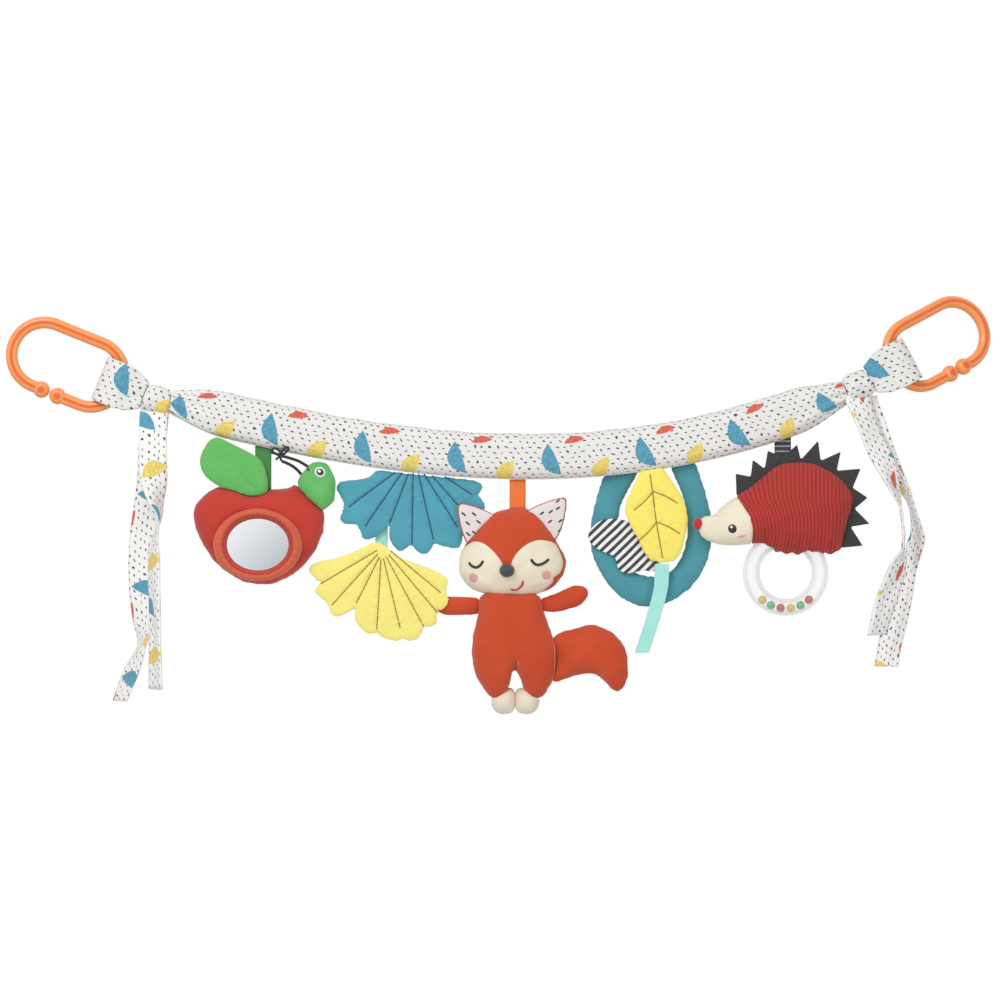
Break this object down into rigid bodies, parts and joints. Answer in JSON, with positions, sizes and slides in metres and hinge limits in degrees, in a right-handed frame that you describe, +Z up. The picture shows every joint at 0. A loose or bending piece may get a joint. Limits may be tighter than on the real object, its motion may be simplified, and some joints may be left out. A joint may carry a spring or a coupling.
{
  "type": "pram chain toy",
  "caption": "Padded fabric garland with plastic snap links and hanging soft toys: apple with mirror, ginkgo leaves, fox, leaf ring and hedgehog rattle.",
  "frame": {"origin": "centre of the eye of the left end loop, where the left link pulls", "axes": "+X along the garland to the right link, +Y away from the baby's side, +Z up"},
  "size_m": [0.6234, 0.0557, 0.2644],
  "materials": {
    "garland_print": "woven cotton with a small print",
    "orange_plastic": "satin moulded plastic",
    "apple_red": "short-pile velour",
    "bezel_coral": "short-pile velour",
    "mirror": "baby-safe plastic mirror film",
    "leaf_green": "short-pile velour",
    "strap_green": "woven ribbon",
    "elastic_black": "round elastic cord",
    "blue_velour": "short-pile velour",
    "yellow_velour": "short-pile velour",
    "mint_ribbon": "satin ribbon",
    "fox_orange": "short-pile velour",
    "fox_ribbon": "satin ribbon",
    "cream_velour": "short-pile velour",
    "nose_grey": "embroidered pad",
    "teal_velour": "short-pile velour",
    "striped_satin": "printed satin",
    "red_corduroy": "ribbed corduroy",
    "black_felt": "felt",
    "snout_red": "short-pile velour",
    "clear_plastic": "clear moulded plastic",
    "bead_yellow": "gloss",
    "bead_green": "gloss",
    "bead_red": "gloss"
  },
  "bodies": {
    "garland": {"garland_band": "garland_print", "left_end_loop": "garland_print", "right_end_loop": "garland_print", "left_knot": "garland_print", "right_knot": "garland_print"},
    "left_link": {"left_link": "orange_plastic"},
    "right_link": {"right_link": "orange_plastic"},
    "left_tail_front": {"left_tail_front": "garland_print"},
    "left_tail_rear": {"left_tail_rear": "garland_print"},
    "right_tail_front": {"right_tail_front": "garland_print"},
    "right_tail_rear": {"right_tail_rear": "garland_print"},
    "apple": {"apple_strap": "strap_green", "apple_body": "apple_red", "mirror_bezel": "bezel_coral", "mirror_plate": "mirror", "worm_head": "leaf_green", "worm_cord": "elastic_black"},
    "apple_leaf": {"apple_leaf": "leaf_green"},
    "blue_leaf": {"blue_leaf": "blue_velour", "leaf_ribbon": "mint_ribbon"},
    "yellow_ginkgo": {"yellow_ginkgo_leaf": "yellow_velour"},
    "fox": {"fox_strap": "fox_ribbon", "fox_head": "cream_velour", "fox_ear_left": "cream_velour", "fox_ear_right": "cream_velour", "fox_nose": "nose_grey", "fox_body": "fox_orange", "fox_foot_left": "cream_velour", "fox_foot_right": "cream_velour"},
    "fox_arm_left": {"fox_arm_left": "fox_orange"},
    "fox_arm_right": {"fox_arm_right": "fox_orange"},
    "fox_tail": {"fox_tail": "fox_orange"},
    "teal_ring": {"teal_ring": "teal_velour"},
    "yellow_leaf": {"yellow_leaf": "yellow_velour", "striped_leaf": "striped_satin"},
    "mint_tail": {"mint_tail": "mint_ribbon"},
    "hedgehog": {"hedgehog_strap": "black_felt", "hedgehog_body": "red_corduroy", "hedgehog_face": "cream_velour", "hedgehog_nose": "snout_red", "hedgehog_spines": "black_felt"},
    "rattle_ring": {"rattle_ring_front": "clear_plastic", "rattle_ring_rear": "clear_plastic"},
    "beads": {"bead_1": "bead_yellow", "bead_2": "bead_green", "bead_3": "bead_red", "bead_4": "bead_yellow", "bead_5": "bead_green", "bead_6": "bead_red"}
  },
  "joints": [
    {"name": "left_link_swivel", "type": "hinge", "parent": "garland", "child": "left_link", "pos_m": [0, 0, 0], "axis": [0.3746, 0, 0.9272], "range_deg": [-30, 30]},
    {"name": "right_link_swivel", "type": "hinge", "parent": "garland", "child": "right_link", "pos_m": [0.49067, 0, 0.01182], "axis": [-0.4695, 0, 0.8829], "range_deg": [-55, 5]},
    {"name": "left_tail_front_swing", "type": "hinge", "parent": "garland", "child": "left_tail_front", "pos_m": [0.02513, -0.00495, -0.0197], "axis": [1, 0, 0], "range_deg": [-60, 0]},
    {"name": "left_tail_rear_swing", "type": "hinge", "parent": "garland", "child": "left_tail_rear", "pos_m": [0.02513, 0.00495, -0.0197], "axis": [1, 0, 0], "range_deg": [0, 60]},
    {"name": "right_tail_front_swing", "type": "hinge", "parent": "garland", "child": "right_tail_front", "pos_m": [0.46674, -0.00495, -0.01045], "axis": [1, 0, 0], "range_deg": [-50, 0]},
    {"name": "right_tail_rear_swing", "type": "hinge", "parent": "garland", "child": "right_tail_rear", "pos_m": [0.46674, 0.00495, -0.01045], "axis": [1, 0, 0], "range_deg": [0, 60]},
    {"name": "apple_swing", "type": "hinge", "parent": "garland", "child": "apple", "pos_m": [0.09215, 0, -0.03141], "axis": [1, 0, 0], "range_deg": [-15, 60]},
    {"name": "apple_leaf_flap", "type": "hinge", "parent": "apple", "child": "apple_leaf", "pos_m": [0.09515, -0.0075, -0.03941], "axis": [0, 0, 1], "range_deg": [0, 60]},
    {"name": "fox_swing", "type": "hinge", "parent": "garland", "child": "fox", "pos_m": [0.25238, 0, -0.05197], "axis": [1, 0, 0], "range_deg": [-15, 15]},
    {"name": "blue_leaf_swing", "type": "hinge", "parent": "garland", "child": "blue_leaf", "pos_m": [0.18353, 0, -0.05197], "axis": [1, 0, 0], "range_deg": [-15, 15]},
    {"name": "yellow_ginkgo_swing", "type": "hinge", "parent": "blue_leaf", "child": "yellow_ginkgo", "pos_m": [0.16523, 0.0007, -0.09898], "axis": [1, 0, 0], "range_deg": [-50, 0]},
    {"name": "fox_arm_left_flap", "type": "hinge", "parent": "fox", "child": "fox_arm_left", "pos_m": [0.22813, 0, -0.13947], "axis": [0, 0, 1], "range_deg": [-40, 0]},
    {"name": "fox_arm_right_flap", "type": "hinge", "parent": "fox", "child": "fox_arm_right", "pos_m": [0.26787, 0, -0.13947], "axis": [0, 0, 1], "range_deg": [-40, 40]},
    {"name": "fox_tail_flap", "type": "hinge", "parent": "fox", "child": "fox_tail", "pos_m": [0.27522, 0, -0.15117], "axis": [0, 0, 1], "range_deg": [-25, 25]},
    {"name": "teal_ring_swing", "type": "hinge", "parent": "garland", "child": "teal_ring", "pos_m": [0.3361, 0, -0.04647], "axis": [0.9892, 0, 0.1468], "range_deg": [0, 28]},
    {"name": "yellow_leaf_swing", "type": "hinge", "parent": "garland", "child": "yellow_leaf", "pos_m": [0.3361, 0, -0.04647], "axis": [0.9892, 0, 0.1468], "range_deg": [-40, 0]},
    {"name": "mint_ribbon_swing", "type": "hinge", "parent": "yellow_leaf", "child": "mint_tail", "pos_m": [0.3432, -0.0034, -0.11297], "axis": [1, 0, 0], "range_deg": [-60, 0]},
    {"name": "hedgehog_swing", "type": "hinge", "parent": "garland", "child": "hedgehog", "pos_m": [0.4194, 0, -0.02634], "axis": [1, 0, 0], "range_deg": [-60, 0]},
    {"name": "rattle_ring_turn", "type": "hinge", "parent": "hedgehog", "child": "rattle_ring", "pos_m": [0.4211, -0.003, -0.11854], "axis": [0, 1, 0], "continuous": true},
    {"name": "beads_roll", "type": "hinge", "parent": "rattle_ring", "child": "beads", "pos_m": [0.4211, -0.003, -0.11854], "axis": [0, 1, 0], "continuous": true}
  ],
  "couplings": [
    {"joint": "blue_leaf_swing", "follows": "fox_swing", "ratio": 1}
  ]
}
